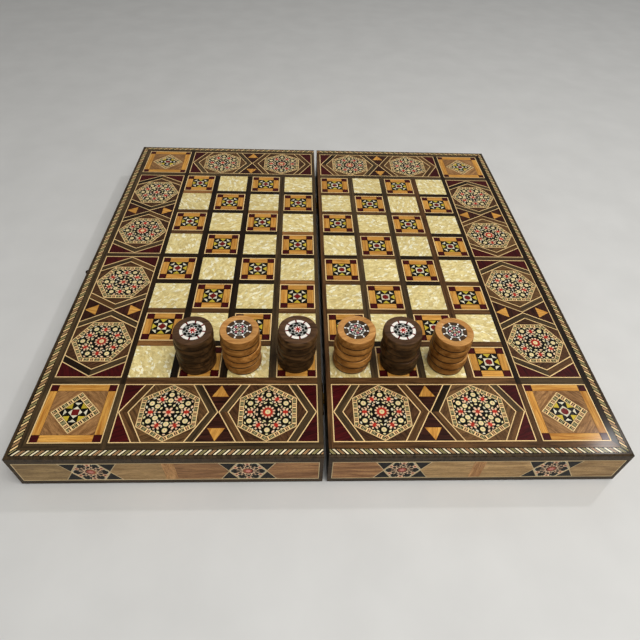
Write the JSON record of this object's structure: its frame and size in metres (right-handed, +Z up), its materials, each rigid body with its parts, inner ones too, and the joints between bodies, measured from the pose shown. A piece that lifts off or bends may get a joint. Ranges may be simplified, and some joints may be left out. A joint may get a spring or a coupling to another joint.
{
  "type": "backgammon case",
  "caption": "Folding inlaid wooden backgammon and chess case lying open, with hinges, a swing latch and stacked round checkers.",
  "frame": {"origin": "on the hinge axis at the middle of the depth, in the plane of the rims the case lies on", "axes": "+X from the left half to the right half, +Y from the player to the back, +Z up"},
  "size_m": [0.5113, 0.498, 0.0893],
  "materials": {
    "walnut": "dark walnut under gloss lacquer",
    "inner_board": "satin lacquered walnut",
    "mother_of_pearl": "polished shell under lacquer",
    "marquetry": "lacquered micro mosaic of coloured woods and bone",
    "rope_banding": "lacquered striped banding",
    "wall_veneer": "lacquered walnut veneer with star inlays",
    "brass": "satin brass",
    "dark_brass": "aged dark brass",
    "checker_dark": "satin turned walnut",
    "checker_light": "satin turned fruitwood"
  },
  "bodies": {
    "left_half": {"left_playing_board": "walnut", "left_front_wall": "walnut", "left_back_wall": "walnut", "left_outer_wall": "walnut", "left_hinge_wall": "walnut", "left_inner_board": "inner_board", "left_pearl_squares": "mother_of_pearl", "left_marquetry_squares": "marquetry", "left_border_panels": "marquetry", "left_rope_banding": "rope_banding", "left_wall_veneers": "wall_veneer", "left_hinge_leaves": "brass", "left_hinge_screws": "brass", "hinge_pins": "brass", "latch_screw": "dark_brass"},
    "right_half": {"right_playing_board": "walnut", "right_front_wall": "walnut", "right_back_wall": "walnut", "right_outer_wall": "walnut", "right_hinge_wall": "walnut", "right_inner_board": "inner_board", "right_pearl_squares": "mother_of_pearl", "right_marquetry_squares": "marquetry", "right_border_panels": "marquetry", "right_rope_banding": "rope_banding", "right_wall_veneers": "wall_veneer", "right_hinge_leaves": "brass", "right_hinge_screws": "brass", "catch_peg": "dark_brass"},
    "latch_hook": {"latch_hook": "dark_brass"},
    "checker_dark_1_1": {"checker_dark_1_1": "checker_dark"},
    "checker_dark_1_2": {"checker_dark_1_2": "checker_dark"},
    "checker_dark_1_3": {"checker_dark_1_3": "checker_dark"},
    "checker_dark_1_4": {"checker_dark_1_4": "checker_dark"},
    "checker_dark_1_5": {"checker_dark_1_5": "checker_dark"},
    "checker_light_2_1": {"checker_light_2_1": "checker_light"},
    "checker_light_2_2": {"checker_light_2_2": "checker_light"},
    "checker_light_2_3": {"checker_light_2_3": "checker_light"},
    "checker_light_2_4": {"checker_light_2_4": "checker_light"},
    "checker_light_2_5": {"checker_light_2_5": "checker_light"},
    "checker_dark_3_1": {"checker_dark_3_1": "checker_dark"},
    "checker_dark_3_2": {"checker_dark_3_2": "checker_dark"},
    "checker_dark_3_3": {"checker_dark_3_3": "checker_dark"},
    "checker_dark_3_4": {"checker_dark_3_4": "checker_dark"},
    "checker_dark_3_5": {"checker_dark_3_5": "checker_dark"},
    "checker_light_4_1": {"checker_light_4_1": "checker_light"},
    "checker_light_4_2": {"checker_light_4_2": "checker_light"},
    "checker_light_4_3": {"checker_light_4_3": "checker_light"},
    "checker_light_4_4": {"checker_light_4_4": "checker_light"},
    "checker_light_4_5": {"checker_light_4_5": "checker_light"},
    "checker_dark_5_1": {"checker_dark_5_1": "checker_dark"},
    "checker_dark_5_2": {"checker_dark_5_2": "checker_dark"},
    "checker_dark_5_3": {"checker_dark_5_3": "checker_dark"},
    "checker_dark_5_4": {"checker_dark_5_4": "checker_dark"},
    "checker_dark_5_5": {"checker_dark_5_5": "checker_dark"},
    "checker_light_6_1": {"checker_light_6_1": "checker_light"},
    "checker_light_6_2": {"checker_light_6_2": "checker_light"},
    "checker_light_6_3": {"checker_light_6_3": "checker_light"},
    "checker_light_6_4": {"checker_light_6_4": "checker_light"},
    "checker_light_6_5": {"checker_light_6_5": "checker_light"}
  },
  "joints": [
    {"name": "case_fold", "type": "hinge", "parent": "left_half", "child": "right_half", "pos_m": [0, 0, 0], "axis": [0, 1, 0], "range_deg": [-5, 180]},
    {"name": "latch_swing", "type": "hinge", "parent": "left_half", "child": "latch_hook", "pos_m": [-0.2512, 0, 0.012], "axis": [1, 0, 0], "range_deg": [-135, 135]},
    {"name": "lift_dark_1_1", "type": "slide", "parent": "left_half", "child": "checker_dark_1_1", "axis": [0, 0, 1], "range_m": [0, 0.05]},
    {"name": "lift_dark_1_2", "type": "slide", "parent": "checker_dark_1_1", "child": "checker_dark_1_2", "axis": [0, 0, 1], "range_m": [0, 0.05]},
    {"name": "lift_dark_1_3", "type": "slide", "parent": "checker_dark_1_2", "child": "checker_dark_1_3", "axis": [0, 0, 1], "range_m": [0, 0.05]},
    {"name": "lift_dark_1_4", "type": "slide", "parent": "checker_dark_1_3", "child": "checker_dark_1_4", "axis": [0, 0, 1], "range_m": [0, 0.05]},
    {"name": "lift_dark_1_5", "type": "slide", "parent": "checker_dark_1_4", "child": "checker_dark_1_5", "axis": [0, 0, 1], "range_m": [0, 0.05]},
    {"name": "lift_light_2_1", "type": "slide", "parent": "left_half", "child": "checker_light_2_1", "axis": [0, 0, 1], "range_m": [0, 0.05]},
    {"name": "lift_light_2_2", "type": "slide", "parent": "checker_light_2_1", "child": "checker_light_2_2", "axis": [0, 0, 1], "range_m": [0, 0.05]},
    {"name": "lift_light_2_3", "type": "slide", "parent": "checker_light_2_2", "child": "checker_light_2_3", "axis": [0, 0, 1], "range_m": [0, 0.05]},
    {"name": "lift_light_2_4", "type": "slide", "parent": "checker_light_2_3", "child": "checker_light_2_4", "axis": [0, 0, 1], "range_m": [0, 0.05]},
    {"name": "lift_light_2_5", "type": "slide", "parent": "checker_light_2_4", "child": "checker_light_2_5", "axis": [0, 0, 1], "range_m": [0, 0.05]},
    {"name": "lift_dark_3_1", "type": "slide", "parent": "left_half", "child": "checker_dark_3_1", "axis": [0, 0, 1], "range_m": [0, 0.05]},
    {"name": "lift_dark_3_2", "type": "slide", "parent": "checker_dark_3_1", "child": "checker_dark_3_2", "axis": [0, 0, 1], "range_m": [0, 0.05]},
    {"name": "lift_dark_3_3", "type": "slide", "parent": "checker_dark_3_2", "child": "checker_dark_3_3", "axis": [0, 0, 1], "range_m": [0, 0.05]},
    {"name": "lift_dark_3_4", "type": "slide", "parent": "checker_dark_3_3", "child": "checker_dark_3_4", "axis": [0, 0, 1], "range_m": [0, 0.05]},
    {"name": "lift_dark_3_5", "type": "slide", "parent": "checker_dark_3_4", "child": "checker_dark_3_5", "axis": [0, 0, 1], "range_m": [0, 0.05]},
    {"name": "lift_light_4_1", "type": "slide", "parent": "right_half", "child": "checker_light_4_1", "axis": [0, 0, 1], "range_m": [0, 0.05]},
    {"name": "lift_light_4_2", "type": "slide", "parent": "checker_light_4_1", "child": "checker_light_4_2", "axis": [0, 0, 1], "range_m": [0, 0.05]},
    {"name": "lift_light_4_3", "type": "slide", "parent": "checker_light_4_2", "child": "checker_light_4_3", "axis": [0, 0, 1], "range_m": [0, 0.05]},
    {"name": "lift_light_4_4", "type": "slide", "parent": "checker_light_4_3", "child": "checker_light_4_4", "axis": [0, 0, 1], "range_m": [0, 0.05]},
    {"name": "lift_light_4_5", "type": "slide", "parent": "checker_light_4_4", "child": "checker_light_4_5", "axis": [0, 0, 1], "range_m": [0, 0.05]},
    {"name": "lift_dark_5_1", "type": "slide", "parent": "right_half", "child": "checker_dark_5_1", "axis": [0, 0, 1], "range_m": [0, 0.05]},
    {"name": "lift_dark_5_2", "type": "slide", "parent": "checker_dark_5_1", "child": "checker_dark_5_2", "axis": [0, 0, 1], "range_m": [0, 0.05]},
    {"name": "lift_dark_5_3", "type": "slide", "parent": "checker_dark_5_2", "child": "checker_dark_5_3", "axis": [0, 0, 1], "range_m": [0, 0.05]},
    {"name": "lift_dark_5_4", "type": "slide", "parent": "checker_dark_5_3", "child": "checker_dark_5_4", "axis": [0, 0, 1], "range_m": [0, 0.05]},
    {"name": "lift_dark_5_5", "type": "slide", "parent": "checker_dark_5_4", "child": "checker_dark_5_5", "axis": [0, 0, 1], "range_m": [0, 0.05]},
    {"name": "lift_light_6_1", "type": "slide", "parent": "right_half", "child": "checker_light_6_1", "axis": [0, 0, 1], "range_m": [0, 0.05]},
    {"name": "lift_light_6_2", "type": "slide", "parent": "checker_light_6_1", "child": "checker_light_6_2", "axis": [0, 0, 1], "range_m": [0, 0.05]},
    {"name": "lift_light_6_3", "type": "slide", "parent": "checker_light_6_2", "child": "checker_light_6_3", "axis": [0, 0, 1], "range_m": [0, 0.05]},
    {"name": "lift_light_6_4", "type": "slide", "parent": "checker_light_6_3", "child": "checker_light_6_4", "axis": [0, 0, 1], "range_m": [0, 0.05]},
    {"name": "lift_light_6_5", "type": "slide", "parent": "checker_light_6_4", "child": "checker_light_6_5", "axis": [0, 0, 1], "range_m": [0, 0.05]}
  ]
}
